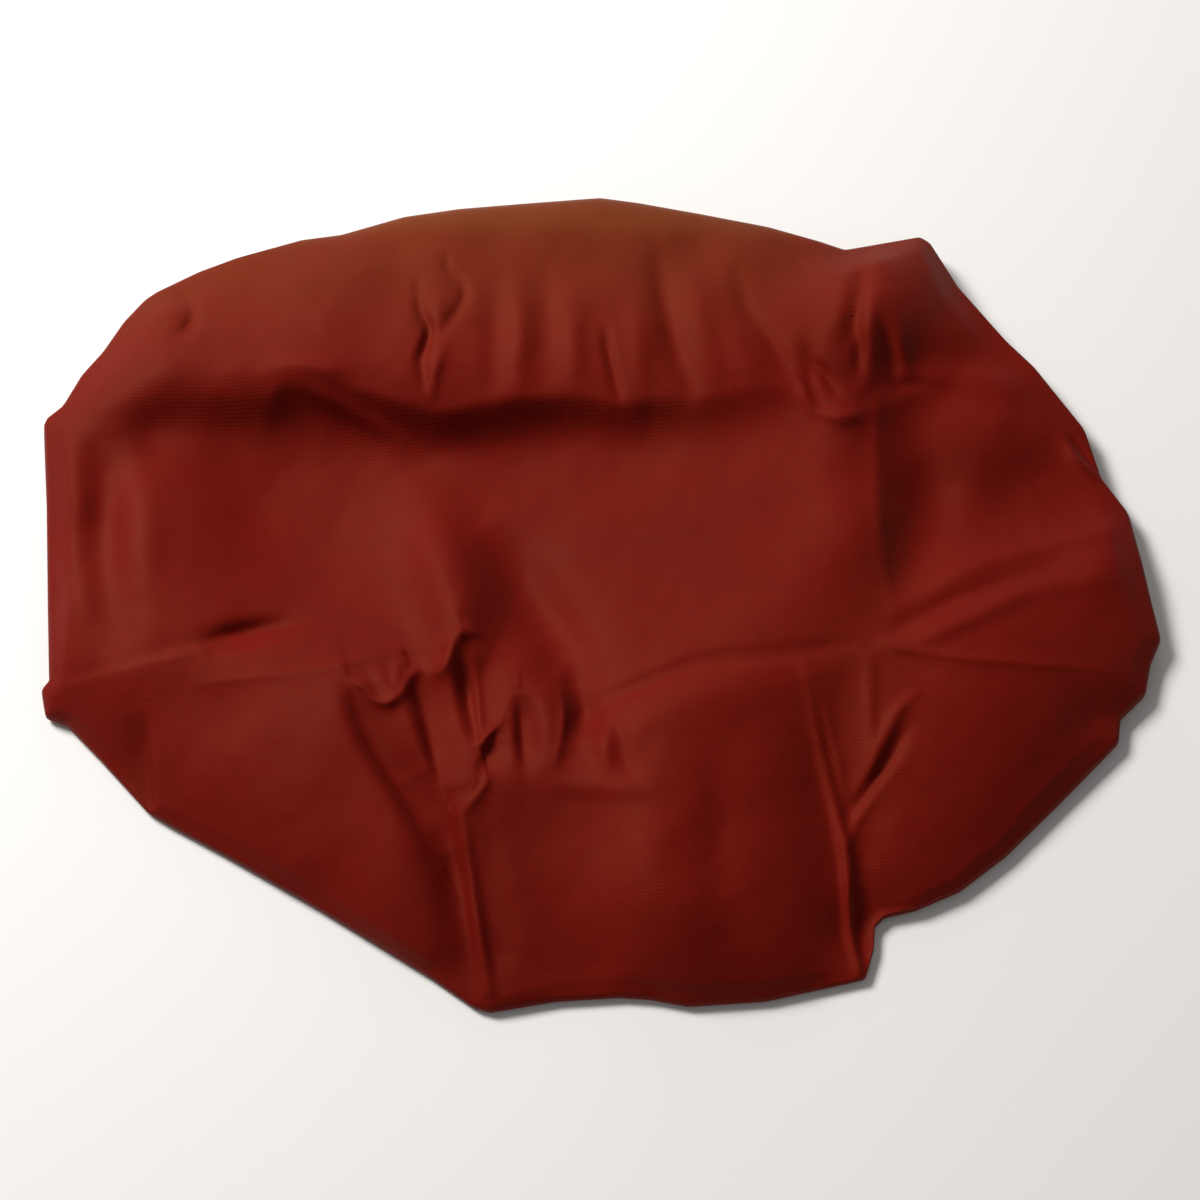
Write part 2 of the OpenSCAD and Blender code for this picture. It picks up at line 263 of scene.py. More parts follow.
# folds: kind, width, points (u, v, height in mm).
#  r  rounded ridge (negative height: valley)      k  keen ridge or crease
#  o  one-sided: fades over the width to the left of the line's run, stops short on the right
#  s  skewed: the given width to the left of the line's run, three tenths of it to the right
#  p  pleat: a valley with a long slope to the left of the run, a sharp lip to its right
#  c  cliff across a line that runs from left to right: the far side stands higher
FOLDS = [
    # the far rim's inner lip and the ground behind it
    ("c", 34, [(20, 404, 0), (120, 394, 3), (210, 391, 5), (262, 392, 8), (290, 376, 16), (325, 378, 20),
               (380, 392, 21), (435, 407, 24), (472, 403, 23), (520, 395, 23), (564, 392, 23), (625, 399, 22),
               (655, 395, 20), (700, 393, 18), (760, 384, 14), (800, 384, 10), (845, 412, 7), (890, 391, 6),
               (930, 380, 4), (1060, 392, 0)]),
    ("r", 10, [(268, 372, 1), (290, 364, 3), (325, 368, 4), (345, 374, 1)]),
    ("r", 9, [(300, 385, 1), (335, 402, 3), (370, 422, 3), (402, 442, 1)]),
    # far rim: puckers and flutes
    ("r", 5.5, [(417, 280, -1), (420, 310, -4), (429, 328, -6), (426, 345, -6), (421, 362, -4), (428, 392, -1)]),
    ("r", 5.5, [(446, 258, -1), (449, 272, -2), (461, 284, -3), (464, 296, -3), (455, 314, -2), (440, 332, -1)]),
    ("r", 7, [(444, 345, 1), (436, 366, 3), (430, 392, 2)]),
    ("r", 10, [(436, 285, 1), (440, 305, 3), (438, 318, 1)]),
    ("r", 13, [(494, 275, -0.5), (494, 325, -3), (492, 380, -1)]),
    ("r", 11, [(517, 275, 0.5), (520, 330, 3), (517, 388, 1)]),
    ("r", 14, [(543, 262, -0.5), (546, 320, -4), (543, 382, -1)]),
    ("r", 12, [(570, 290, 0.5), (574, 340, 3), (574, 382, 1)]),
    ("r", 6, [(605, 325, -0.5), (607, 345, -3), (612, 368, -3.5), (619, 394, -2)]),
    ("r", 13, [(636, 290, 0.5), (640, 345, 3), (640, 388, 1)]),
    ("r", 12, [(655, 236, -1), (664, 300, -5), (675, 345, -5), (690, 390, -2)]),
    ("r", 13, [(692, 255, 0.5), (700, 310, 3), (716, 372, 1)]),
    ("r", 9, [(738, 272, -1), (747, 310, -3), (769, 338, -4), (797, 384, -2)]),
    ("r", 15, [(725, 320, 0.5), (745, 360, 3), (765, 385, 1)]),
    ("r", 6.5, [(806, 338, -1), (810, 360, -4), (824, 374, -5), (834, 388, -4), (843, 395, -1)]),
    ("r", 6.5, [(804, 350, -1), (808, 378, -3), (818, 399, -4), (832, 408, -2)]),
    ("k", 4, [(818, 408, 1), (836, 416, 5), (850, 417, 5), (864, 410, 1)]),
    ("k", 5, [(797, 350, 1), (800, 380, 3), (810, 405, 2)]),
    ("r", 9, [(862, 256, -2), (860, 290, -8), (854, 322, -8), (848, 342, -3)]),
    ("r", 6.5, [(859, 334, -2), (859, 350, -5), (858, 368, -2)]),
    ("r", 8, [(868, 296, 1), (871, 340, 1.5), (869, 375, 2), (858, 394, 1)]),
    ("r", 7, [(879, 322, -1), (889, 347, -3), (893, 382, -2)]),
    ("r", 9, [(898, 320, 1), (903, 350, 4), (906, 372, 2)]),
    ("r", 15, [(905, 382, 2), (930, 378, 4), (960, 377, 4), (1005, 384, 3), (1050, 392, 1)]),
    ("k", 5, [(893, 394, -1), (902, 386, -4), (918, 384, -3), (940, 386, -1)]),
    ("r", 13, [(160, 313, 3), (168, 313, 3)]),
    ("r", 6, [(170, 292, -1), (186, 299, -4), (193, 313, -4), (188, 328, -4), (173, 336, -1)]),
    # left rim
    ("r", 17, [(68, 425, 1), (72, 480, 4), (72, 560, 4), (70, 640, 3), (70, 675, 1)]),
    ("r", 22, [(98, 410, -1), (102, 450, -6), (106, 490, -8), (108, 560, -9), (114, 620, -6), (126, 660, -1)]),
    ("r", 24, [(190, 470, 1), (165, 480, 2), (143, 500, 4), (140, 550, 4), (146, 610, 1)]),
    # near left: the panel that overlaps, its pocket, and its lower pleat
    ("o", 44, [(352, 632, 1), (300, 634, 3), (250, 640, 4), (205, 650, 4), (120, 672, 2), (60, 690, 1)]),
    ("r", 12, [(200, 648, -1), (228, 639, -9), (262, 631, -9), (304, 624, -2)]),
    ("k", 7, [(200, 683, 1), (290, 673, 2), (345, 663, 3), (385, 653, 3), (442, 644, 1)]),
    ("o", 28, [(152, 802, -7), (149, 755, -8), (147, 712, -1)]),
    # the tent fold and the hollow beside it
    ("r", 36, [(404, 474, 2), (424, 516, 12), (443, 560, 22), (457, 606, 28), (464, 650, 17)]),
    ("r", 32, [(490, 525, -2), (522, 580, -11), (556, 640, -16), (590, 705, -10)]),
    # the bunch of small pleats: each drops steeply on its left and rises gently again
    ("s", 36, [(352, 688, -3), (360, 715, -9), (374, 745, -12), (394, 778, -14), (412, 806, -12), (426, 832, -6),
               (438, 856, -1)]),
    ("s", 27, [(411, 674, -4), (419, 700, -10), (428, 730, -12), (436, 760, -9), (444, 788, -2)]),
    ("s", 30, [(463, 646, -2), (464, 670, -11), (468, 698, -13), (474, 722, -10), (480, 745, -3)]),
    ("s", 19, [(500, 726, -1), (493, 742, -4), (486, 758, -4), (480, 774, -1)]),
    ("s", 25, [(521, 694, -1), (522, 722, -8), (524, 748, -8), (527, 770, -2), (529, 790, 0)]),
    ("k", 5, [(350, 686, 1), (356, 682, 4), (366, 689, 4), (376, 700, 4), (389, 702, 5), (403, 690, 5), (412, 674, 5),
              (422, 667, 1)]),
    ("r", 7, [(376, 668, 1), (384, 684, 3), (388, 700, 1)]),
    ("k", 4, [(399, 658, 1), (396, 675, 3), (392, 695, 1)]),
    ("k", 5, [(430, 674, 1), (441, 671, 4), (449, 655, 5), (456, 638, 5), (467, 631, 5), (479, 636, 2)]),
    ("k", 5, [(474, 655, 1), (477, 690, 4), (480, 722, 5), (483, 742, 2)]),
    ("k", 4, [(481, 743, 3), (490, 733, 5), (502, 721, 2)]),
    ("r", 34, [(492, 655, 1), (520, 668, 6), (548, 684, 5)]),
    ("r", 13, [(543, 692, 1), (545, 730, 4), (543, 768, 1)]),
    ("k", 5, [(560, 690, 2), (564, 712, 4), (562, 735, 3), (556, 762, 1)]),
    ("r", 15, [(574, 688, -5), (583, 717, -10), (577, 738, -6)]),
    ("r", 8, [(568, 758, -2), (588, 756, -2)]),
    ("r", 10, [(606, 715, 1), (606, 740, 4), (606, 765, 2)]),
    ("r", 9, [(616, 730, -0.5), (624, 756, -2), (634, 782, -0.5)]),
    ("r", 12, [(540, 782, 0.5), (570, 784, 2), (610, 786, 2.5), (650, 788, 1)]),
    ("k", 5, [(462, 812, 1), (474, 800, 3), (484, 786, 3), (490, 772, 1)]),
    # the two keen ridges that run to the near edge, each in its own shallow valley
    ("r", 25, [(476, 985, -4), (467, 935, -9), (458, 885, -15), (448, 845, -15), (436, 812, -9), (416, 775, -3)]),
    ("r", 8, [(459, 804, 1), (463, 835, 5), (471, 885, 7), (479, 935, 7), (488, 990, 4)]),
    ("r", 14, [(484, 800, -1), (489, 850, -3), (497, 900, -3), (503, 950, -2)]),
    ("r", 44, [(858, 975, -5), (851, 930, -12), (845, 860, -16), (837, 800, -16), (828, 750, -11), (817, 710, -5),
               (808, 675, -1)]),
    ("r", 6, [(805, 664, 1), (813, 700, 3), (825, 760, 4), (839, 820, 6), (847, 860, 7), (851, 930, 7),
              (861, 975, 4)]),
    ("r", 5, [(813, 682, -1), (821, 720, -3), (831, 760, -3), (839, 800, -1)]),
    ("k", 4, [(815, 672, 1), (826, 720, 3), (837, 765, 3), (844, 800, 1)]),
    ("r", 11, [(866, 850, -1), (866, 900, -2), (867, 950, -2)]),
    ("r", 7, [(853, 814, -1), (866, 795, -5), (882, 770, -6), (899, 740, -4), (907, 724, -1)]),
    ("k", 4, [(857, 796, 1), (874, 760, 3), (894, 717, 4), (916, 692, 1)]),
    ("k", 5, [(849, 842, 2), (860, 815, 4), (877, 787, 4), (890, 767, 1)]),
    ("k", 4, [(869, 655, 1), (870, 700, 3), (872, 765, 1)]),
    # near rim: soft flutes
    ("r", 34, [(632, 800, 1), (640, 860, 5), (640, 940, 4)]),
    ("r", 24, [(722, 752, -1), (720, 810, -4), (719, 870, -4), (724, 925, -1)]),
    # the near ridge's crease
    ("r", 24, [(610, 736, 1), (645, 716, 4), (700, 694, 4), (760, 686, 2), (820, 680, 1)]),
    ("k", 5, [(600, 709, -1), (640, 689, -3), (700, 668, -3), (760, 660, -2), (820, 652, -1)]),
    ("r", 7, [(600, 700, -1), (640, 682, -2), (700, 660, -2), (760, 652, -1.5), (850, 643, -1)]),
    ("k", 6, [(886, 641, 2), (915, 651, 3), (1000, 661, 3), (1100, 669, 1)]),
    # right: the drop beside the middle panel and the rays
    ("r", 37, [(898, 400, -3), (914, 440, -11), (926, 500, -14), (920, 550, -12), (900, 600, -3)]),
    ("k", 7, [(878, 400, 1), (876, 440, 3), (877, 500, 4), (882, 560, 3), (892, 600, 1)]),
    ("k", 13, [(895, 610, 2), (925, 592, 4), (960, 572, 6), (1000, 558, 6), (1040, 547, 6), (1085, 536, 5), (1128, 524, 2)]),
    ("r", 9, [(900, 628, -2), (950, 602, -4), (1000, 584, -3), (1060, 566, -1)]),
    ("r", 11, [(888, 646, 1), (920, 638, 4), (960, 621, 5), (1000, 603, 4), (1030, 590, 3), (1105, 578, 1)]),

    ("r", 26, [(950, 290, -1), (980, 322, -4), (1010, 354, -4), (1030, 384, -1)]),
    ("k", 4, [(1066, 444, 2), (1078, 460, 6), (1096, 476, 4)]),
    ("r", 4, [(1072, 440, -2), (1086, 456, -5), (1100, 470, -4)]),
]

# ---------------------------------------------------------------- camera
scene = bpy.context.scene
cam_data = bpy.data.cameras.new("camera")
cam = bpy.data.objects.new("camera", cam_data)
scene.collection.objects.link(cam)
cam_data.lens = CAM_LENS
cam_data.sensor_width = 36.0
cam_data.clip_end = 20
cam.location = Vector(CAM_POS)
cam.rotation_euler = Vector(CAM_FWD).to_track_quat("-Z", "Y").to_euler()
scene.camera = cam

# ---------------------------------------------------------------- hem oval (as in the CAD)
HEM_A, HEM_B, END_R = 0.340, 0.250, 0.200
END_C = HEM_A - END_R
SIDE_D = (END_C ** 2 - (HEM_B - END_R) ** 2) / (2 * (HEM_B - END_R))
SIDE_R = HEM_B + SIDE_D
JOIN = math.atan2(SIDE_D, END_C)


def oval_point(a, o=0.0):
    """Point of the hem oval, offset outwards by o, whose outward normal points in direction a."""
    c, s = math.cos(a), math.sin(a)
    if abs(c) > math.cos(JOIN):
        return np.array([math.copysign(END_C, c) + (END_R + o) * c, (END_R + o) * s])
    return np.array([(SIDE_R + o) * c, -math.copysign(SIDE_D, s) + (SIDE_R + o) * s])


def oval_loop(n, o=0.0):
    """n points evenly spaced round the oval with their outward normals, from the bow end."""
    a = np.linspace(0, 2 * math.pi, 2881)
    p = np.array([oval_point(x, 0.0) for x in a])
    s = np.concatenate([[0], np.cumsum(np.hypot(*(p[1:] - p[:-1]).T))])
    aa = np.interp(np.arange(n) * s[-1] / n, s, a)
    nrm = np.stack([np.cos(aa), np.sin(aa)], 1)
    pts = np.array([oval_point(x, 0.0) for x in aa]) + nrm * o
    return pts, nrm, s[-1]


def oval_radius(th, o=0.0):
    """Distance from the middle to the oval, offset by o, in direction th (arrays)."""
    x, y = np.abs(np.cos(th)), np.abs(np.sin(th))
    r1, r2 = END_R + o, SIDE_R + o
    jx, jy = END_C + r1 * math.cos(JOIN), r1 * math.sin(JOIN)
    end = END_C * x + np.sqrt(np.maximum(r1 * r1 - (END_C * y) ** 2, 0))
    side = -SIDE_D * y + np.sqrt(np.maximum(r2 * r2 - (SIDE_D * x) ** 2, 0))
    return np.where(np.arctan2(y, x) < math.atan2(jy, jx), end, side)


def oval_offset(x, y):
    """How far outside the hem oval a point lies (negative inside)."""
    x, y = np.abs(x), np.abs(y)
    end = np.hypot(x - END_C, y) - END_R
    side = np.hypot(x, y + SIDE_D) - SIDE_R
    return np.where(np.arctan2(y, x - END_C) < JOIN, end, side)


def smooth_noise(n, waves, seed):
    """Periodic smooth noise round a loop of n points: sums of a few sines with seeded phases."""
    g = np.random.default_rng(seed)
    t = np.arange(n) * 2 * math.pi / n
    out = np.zeros(n)
    for w in waves:
        out += np.sin(w * t + g.uniform(0, 2 * math.pi)) * g.uniform(0.6, 1.0)
    return out / max(len(waves), 1)


def plane_noise(x, y, scale, seed, n=24):
    """Smooth seeded noise over the plane, about -1 to 1, features of size scale (metres)."""
    g = np.random.default_rng(seed)
    out = np.zeros(np.shape(x))
    for _ in range(n):
        th = g.uniform(0, 2 * math.pi)
        k = 2 * math.pi / (scale * g.uniform(0.7, 1.6))
        out += np.sin(k * (x * math.cos(th) + y * math.sin(th)) + g.uniform(0, 2 * math.pi))
    return out / math.sqrt(n)


def new_object(name, verts, faces, smooth=True):
    me = bpy.data.meshes.new(name)
    me.from_pydata([tuple(v) for v in verts], [], [tuple(f) for f in faces])
    me.validate()
    if smooth:
        me.polygons.foreach_set("use_smooth", [True] * len(me.polygons))
    ob = bpy.data.objects.new(name, me)
    scene.collection.objects.link(ob)
    return ob


def set_uv(ob, uv):
    """One UV pair per vertex, in metres along the cloth."""
    me = ob.data
    layer = me.uv_layers.new(name="cloth")
    idx = np.empty(len(me.loops), int)
    me.loops.foreach_get("vertex_index", idx)
    layer.data.foreach_set("uv", np.asarray(uv, np.float32)[idx].ravel())


# ---------------------------------------------------------------- the cloth
GN, GM = 316, 240           # cells along and across
MID_U, MID_V = 600.0, 605.0


def build_cloth():
    def spread(n, at, width, gain):
        """n steps from -1 to 1, closer together at the ends and round one place."""
        t = np.linspace(-1, 1, 4001)
        d = 1 + 1.1 * t ** 6 + gain * np.exp(-((t - at) / width) ** 2)
        c = np.concatenate([[0], np.cumsum(0.5 * (d[1:] + d[:-1]))])
        return np.interp(np.linspace(0, c[-1], n + 1), c, t)

    ga, gb = np.meshgrid(spread(GN, -0.22, 0.26, 1.3), spread(GM, 0.28, 0.28, 1.2))
    dx = ga * np.sqrt(np.maximum(1 - gb * gb / 2, 0))
    dy = gb * np.sqrt(np.maximum(1 - ga * ga / 2, 0))
    rho, th = np.hypot(dx, dy), np.arctan2(dy, dx)
    oc = outline_curve(1.5)
    oth = np.unwrap(np.arctan2(oc[:, 1] - MID_V, oc[:, 0] - MID_U))
    if oth[-1] < oth[0]:
        oth, oc = oth[::-1], oc[::-1]
    orad = np.hypot(oc[:, 0] - MID_U, oc[:, 1] - MID_V)
    th_all = np.concatenate([oth - 2 * math.pi, oth, oth + 2 * math.pi])
    order = np.argsort(th_all)
    th_all = th_all[order]
    rad_all = np.tile(orad, 3)[order]
    R = np.interp(th, th_all, rad_all)
    u = MID_U + rho * R * np.cos(th)
    v = MID_V + rho * R * np.sin(th)
    # distance to the outline, and the edge's height and roll width there
    ou, ov, oz, ow = oc.T
    fu, fv = u.ravel(), v.ravel()
    dist = np.full(fu.size, 1e9)
    ez = np.zeros(fu.size)
    ew = np.zeros(fu.size)
    for i in range(0, fu.size, 4000):
        d2 = (fu[i:i + 4000, None] - ou[None, :]) ** 2 + (fv[i:i + 4000, None] - ov[None, :]) ** 2
        # a soft minimum of the heights keeps them smooth across the outline's middle line
        k = d2.argmin(1)
        dist[i:i + 4000] = np.sqrt(d2[np.arange(len(k)), k])
        w = np.exp(-(np.sqrt(d2) - dist[i:i + 4000, None]) / 9.0)
        w /= w.sum(1)[:, None]
        ez[i:i + 4000] = w @ oz
        ew[i:i + 4000] = w @ ow
    dist, ez, ew = (q.reshape(u.shape) for q in (dist, ez, ew))
    dist[0, :] = dist[-1, :] = 0
    dist[:, 0] = dist[:, -1] = 0
    base = tps_fit(BASE + [(a, b, c + (6 if b < 400 else 3)) for a, b, c, d in OUTLINE])
    z = top_height(u, v, dist, ez, ew, base)
    P = to_world(u, v, z / 1000.0)
    # slight unevenness of the cloth
    inner = smooth01(dist / 40.0)
    P[..., 2] += inner * (0.0004 * plane_noise(P[..., 0], P[..., 1], 0.060, 3)
                          + 0.00012 * plane_noise(P[..., 0], P[..., 1], 0.022, 4))
    # it lies over the hem and the strap, never through them
    o = oval_offset(P[..., 0], P[..., 1])
    near = smooth01((o + 0.034) / 0.018) * (1 - smooth01((o - 0.027) / 0.012))
    X, Y = P[..., 0], P[..., 1]
    near = np.maximum(near, smooth01((X - 0.185) / 0.03) * (1 - smooth01((X - 0.365) / 0.02))
                      * (1 - smooth01((np.abs(Y) - 0.020) / 0.022)))
    low = -0.02 + 0.0385 * near
    P[..., 2] = low + np.logaddexp(0, (P[..., 2] - low) / 0.0018) * 0.0018
    rows, cols = P.shape[:2]
    verts = [P.reshape(-1, 3)]
    vid = np.arange(rows * cols).reshape(rows, cols)
    faces = []
    for j in range(rows - 1):
        for i in range(cols - 1):
            faces.append((vid[j, i], vid[j + 1, i], vid[j + 1, i + 1], vid[j, i + 1]))
    # the edge's loop, anticlockwise seen from above
    loop = list(vid[-1, :-1]) + list(vid[::-1, -1][:-1]) + list(vid[0, ::-1][:-1]) + list(vid[:, 0][:-1])
    loop = np.array(loop)
    B = P.reshape(-1, 3)[loop]
    n = len(loop)
    t = np.roll(B, -4, 0) - np.roll(B, 4, 0)
    nrm = np.stack([t[:, 1], -t[:, 0]], 1)
    nrm /= np.linalg.norm(nrm, axis=1)[:, None]
    for _ in range(6):
        nrm = 0.25 * np.roll(nrm, 1, 0) + 0.5 * nrm + 0.25 * np.roll(nrm, -1, 0)
    nrm /= np.linalg.norm(nrm, axis=1)[:, None]
    zb = B[:, 2]
    rings = []

    def ring(out, z):
        rings.append(np.column_stack([B[:, :2] + nrm * np.asarray(out).reshape(-1, 1), z]))

    bul = np.minimum(0.004, 0.13 * zb)
    low = 0.0016 + 0.0006 * (1 + smooth_noise(n, (9, 17, 31, 44), 5))
    ring(bul * 0.55, zb * 0.82)
    ring(bul * 0.9, zb * 0.62)
    ring(bul * 0.95, zb * 0.42)
    ring(bul * 0.6, low + (zb - low) * 0.20)
    ring(bul * 0.0 - 0.001, low + (zb - low) * 0.06)
    ring(bul * 0.0 - 0.005, low)
    edge = rings[-1]
    # the turned-under band, gathered more and more towards the hem, and flat between the flanges
    ang = np.arctan2(edge[:, 1], edge[:, 0])

    def hem_at(o):
        r = oval_radius(ang, o)
        return np.column_stack([np.cos(ang) * r, np.sin(ang) * r])

    hem_xy, lip_xy = hem_at(0.0128), hem_at(0.0265)
    hs = np.concatenate([[0], np.cumsum(np.hypot(*(np.roll(hem_xy, -1, 0) - hem_xy).T))])[:-1]
    total = hs[-1] + np.hypot(*(hem_xy[0] - hem_xy[-1]))
    ph = 2 * math.pi * (96 * hs / total) + 1.4 * smooth_noise(n, (7, 11, 19, 23), 8)
    amp_var = 1 + 0.45 * smooth_noise(n, (13, 21, 34), 9)
    gap = np.linalg.norm(lip_xy - edge[:, :2], axis=1)
    out_by = np.hypot(edge[:, 0], edge[:, 1]) - np.hypot(lip_xy[:, 0], lip_xy[:, 1])
    print("band: narrowest", round(out_by.min() * 1000, 1), "widest", round(out_by.max() * 1000, 1))
    NB, NL = 11, 5
    wob = smooth_noise(n, (5, 9), 10)
    long_folds = smooth_noise(n, (17, 29, 41, 53), 12)

    def gather(s):
        return np.sin(ph + 0.6 * s * wob) + 0.25 * np.sin(2 * ph + 1.0)

    for k in range(1, NB + 1):
        s = k / NB
        xy = edge[:, :2] * (1 - s) + lip_xy * s
        zc = low * (1 - smooth01(s)) + 0.0088 * smooth01(s)
        a = (0.0030 * s ** 1.5 + 0.0014 * math.sin(math.pi * s)) * amp_var
        z2 = zc + a * gather(s)
        z2 += 0.0030 * math.sin(math.pi * s) * long_folds * np.clip(gap / 0.08, 0, 1)
        z2 = 0.0006 + np.log1p(np.exp((z2 - 0.0006) / 0.0006)) * 0.0006
        rings.append(np.column_stack([xy, z2]))
    for k in range(1, NL + 1):
        s = k / NL
        o = 0.0265 * (1 - s) + 0.0128 * s
        a = (0.0030 * (1 - smooth01(s * 2.2)) + 0.00062 * smooth01(s * 2.2)) * amp_var
        a = np.minimum(a, 0.0030 if k < 2 else 0.00085)
        zc = 0.0088 * (1 - smooth01(s * 2)) + 0.0100 * smooth01(s * 2)
        rings.append(np.column_stack([hem_at(o), zc + a * gather(1.0) * 0.85]))
    prev = loop
    count = rows * cols
    for r in rings:
        verts.append(r)
        cur = np.arange(count, count + n)
        count += n
        for i in range(n):
            j = (i + 1) % n
            faces.append((prev[i], cur[i], cur[j], prev[j]))
        prev = cur
    V = np.vstack(verts)
    ob = new_object("deck_cloth_sheet", V, faces)
    uv = V[:, :2].copy()
    set_uv(ob, uv)
    return ob


cloth = build_cloth()


def weld_smooth(ob, levels=0):
    if levels:
        mod = ob.modifiers.new("soft", "SUBSURF")
        mod.levels = mod.render_levels = levels
        apply_modifiers(ob)


def apply_modifiers(ob):
    """Replace the mesh by its modified one."""
    dg = bpy.context.evaluated_depsgraph_get()
    dg.update()
    me = bpy.data.meshes.new_from_object(ob.evaluated_get(dg), preserve_all_data_layers=True, depsgraph=dg)
    ob.modifiers.clear()
    ob.data = me


# ---------------------------------------------------------------- hem casing
def casing_ripple(s, r):
    """Scrunching of the casing (metres) at arc place s and radial place r: soft uneven pleats."""
    p = 2 * math.pi * s
    w = (np.sin(p / 0.0093 + 1.1 * np.sin(p / 0.071)) + 0.5 * np.sin(p / 0.0147 + 0.9 * np.sin(p / 0.113) + 1.7)
         + 0.35 * np.sin(p / 0.0053 + r * 160))
    return 0.62 * w


def build_casing():
    n = 1180
    path, nrm, length = oval_loop(n)
    k = round(length / 0.0093)
    s = np.arange(n) * (k * 0.0093) / n          # a whole number of pleats
    sec = np.array([(22, 8.55), (18.5, 8.5), (14.5, 8.5), (10.6, 8.5), (9.5, 7.8), (9.3, 5.6), (9.1, 3.2), (8.0, 1.5),
                    (5.4, 0.95), (2.0, 0.8), (-2.0, 0.8), (-5.4, 0.95), (-8.0, 1.7), (-9.1, 3.6), (-9.3, 6.0),
                    (-9.0, 8.6), (-7.6, 10.6), (-4.6, 11.45), (0.0, 11.5), (5.0, 11.5), (10.0, 11.48),
                    (14.5, 11.5), (18.5, 11.5), (22, 11.45)])
    # how far each place may ripple (mm): little where it is sewn, more on the free round
    free = np.array([0.30, 0.12, 0.22, 0.40, 0.5, 0.6, 0.6, 0.55, 0.45, 0.35, 0.35, 0.45, 0.65, 0.85, 0.95,
                     0.9, 0.75, 0.6, 0.55, 0.55, 0.5, 0.24, 0.14, 0.30])
    t = np.roll(sec, -1, 0) - np.roll(sec, 1, 0)
    t[0], t[-1] = sec[1] - sec[0], sec[-1] - sec[-2]
    out = np.stack([t[:, 1], -t[:, 0]], 1)
    out /= np.linalg.norm(out, axis=1)[:, None]
    out = -out
    # outward of the strip's round: away from the tube's middle
    mid = np.array([0.0, 6.0])
    flip = np.sign(((sec - mid) * out).sum(1))
    flip[(sec[:, 0] > 9.6)] = np.where(sec[(sec[:, 0] > 9.6), 1] < 10, 1, 1)
    out *= flip[:, None]
    for i, (r, z) in enumerate(sec):
        if r > 9.6:
            out[i] = (0, -1) if z < 10 else (0, 1)
    verts, uvs = [], []
    m = len(sec)
    run = np.concatenate([[0], np.cumsum(np.hypot(*(sec[1:] - sec[:-1]).T))]) / 1000
    for i in range(m):
        a = casing_ripple(s, sec[i, 0] / 1000) * free[i]
        if sec[i, 0] > 9.6:
            a = np.maximum(a, -0.30 * free[i])
        if sec[i, 1] < 2.0:
            a = np.clip(a, -0.9, sec[i, 1] - 0.55)
        rr = (sec[i, 0] + out[i, 0] * a) / 1000
        zz = (sec[i, 1] + out[i, 1] * a) / 1000
        verts.append(np.column_stack([path + nrm * rr[:, None], zz]))
        uvs.append(np.column_stack([s, np.full(n, run[i])]))
    V = np.stack(verts)                          # m, n, 3
    faces = []
    for i in range(m - 1):
        for j in range(n):
            j2 = (j + 1) % n
            faces.append((i * n + j, i * n + j2, (i + 1) * n + j2, (i + 1) * n + j))
    ob = new_object("hem_casing_strip", V.reshape(-1, 3), faces)
    set_uv(ob, np.concatenate(uvs))
    mod = ob.modifiers.new("thick", "SOLIDIFY")
    mod.thickness = 0.0006
    mod.offset = 0.0
    mod.use_even_offset = False
    apply_modifiers(ob)
    return ob, length


def tube(points, radius, sides=6, closed=False, caps=True):
    """A round thread along points: verts, faces."""
    p = np.asarray(points, float)
    k = len(p)
    tan = np.gradient(p, axis=0) if not closed else np.roll(p, -1, 0) - np.roll(p, 1, 0)
    tan /= np.linalg.norm(tan, axis=1)[:, None] + 1e-12
    up = np.array([0, 0, 1.0])
    side = np.cross(tan, up)
    bad = np.linalg.norm(side, axis=1) < 1e-3
    side[bad] = np.cross(tan[bad], np.array([0, 1.0, 0]))
    side /= np.linalg.norm(side, axis=1)[:, None]
    nn = np.cross(side, tan)
    a = np.arange(sides) * 2 * math.pi / sides
    rad = np.broadcast_to(np.asarray(radius, float), (k,))
    v = (p[:, None, :] + rad[:, None, None] * (np.cos(a)[None, :, None] * side[:, None, :]
                                               + np.sin(a)[None, :, None] * nn[:, None, :]))
    v = v.reshape(-1, 3)
    f = []
    for i in range(k - 1 if not closed else k):
        i2 = (i + 1) % k
        for j in range(sides):
            j2 = (j + 1) % sides
            f.append((i * sides + j, i * sides + j2, i2 * sides + j2, i2 * sides + j))
    if caps and not closed:
        f.append(tuple(range(sides))[::-1])
        f.append(tuple((k - 1) * sides + j for j in range(sides)))
    return v, f


def join_bits(name, bits):
    V, F, c = [], [], 0
    for v, f in bits:
        V.append(v)
        F += [tuple(i + c for i in q) for q in f]
        c += len(v)
    ob = new_object(name, np.vstack(V), F)
    return ob


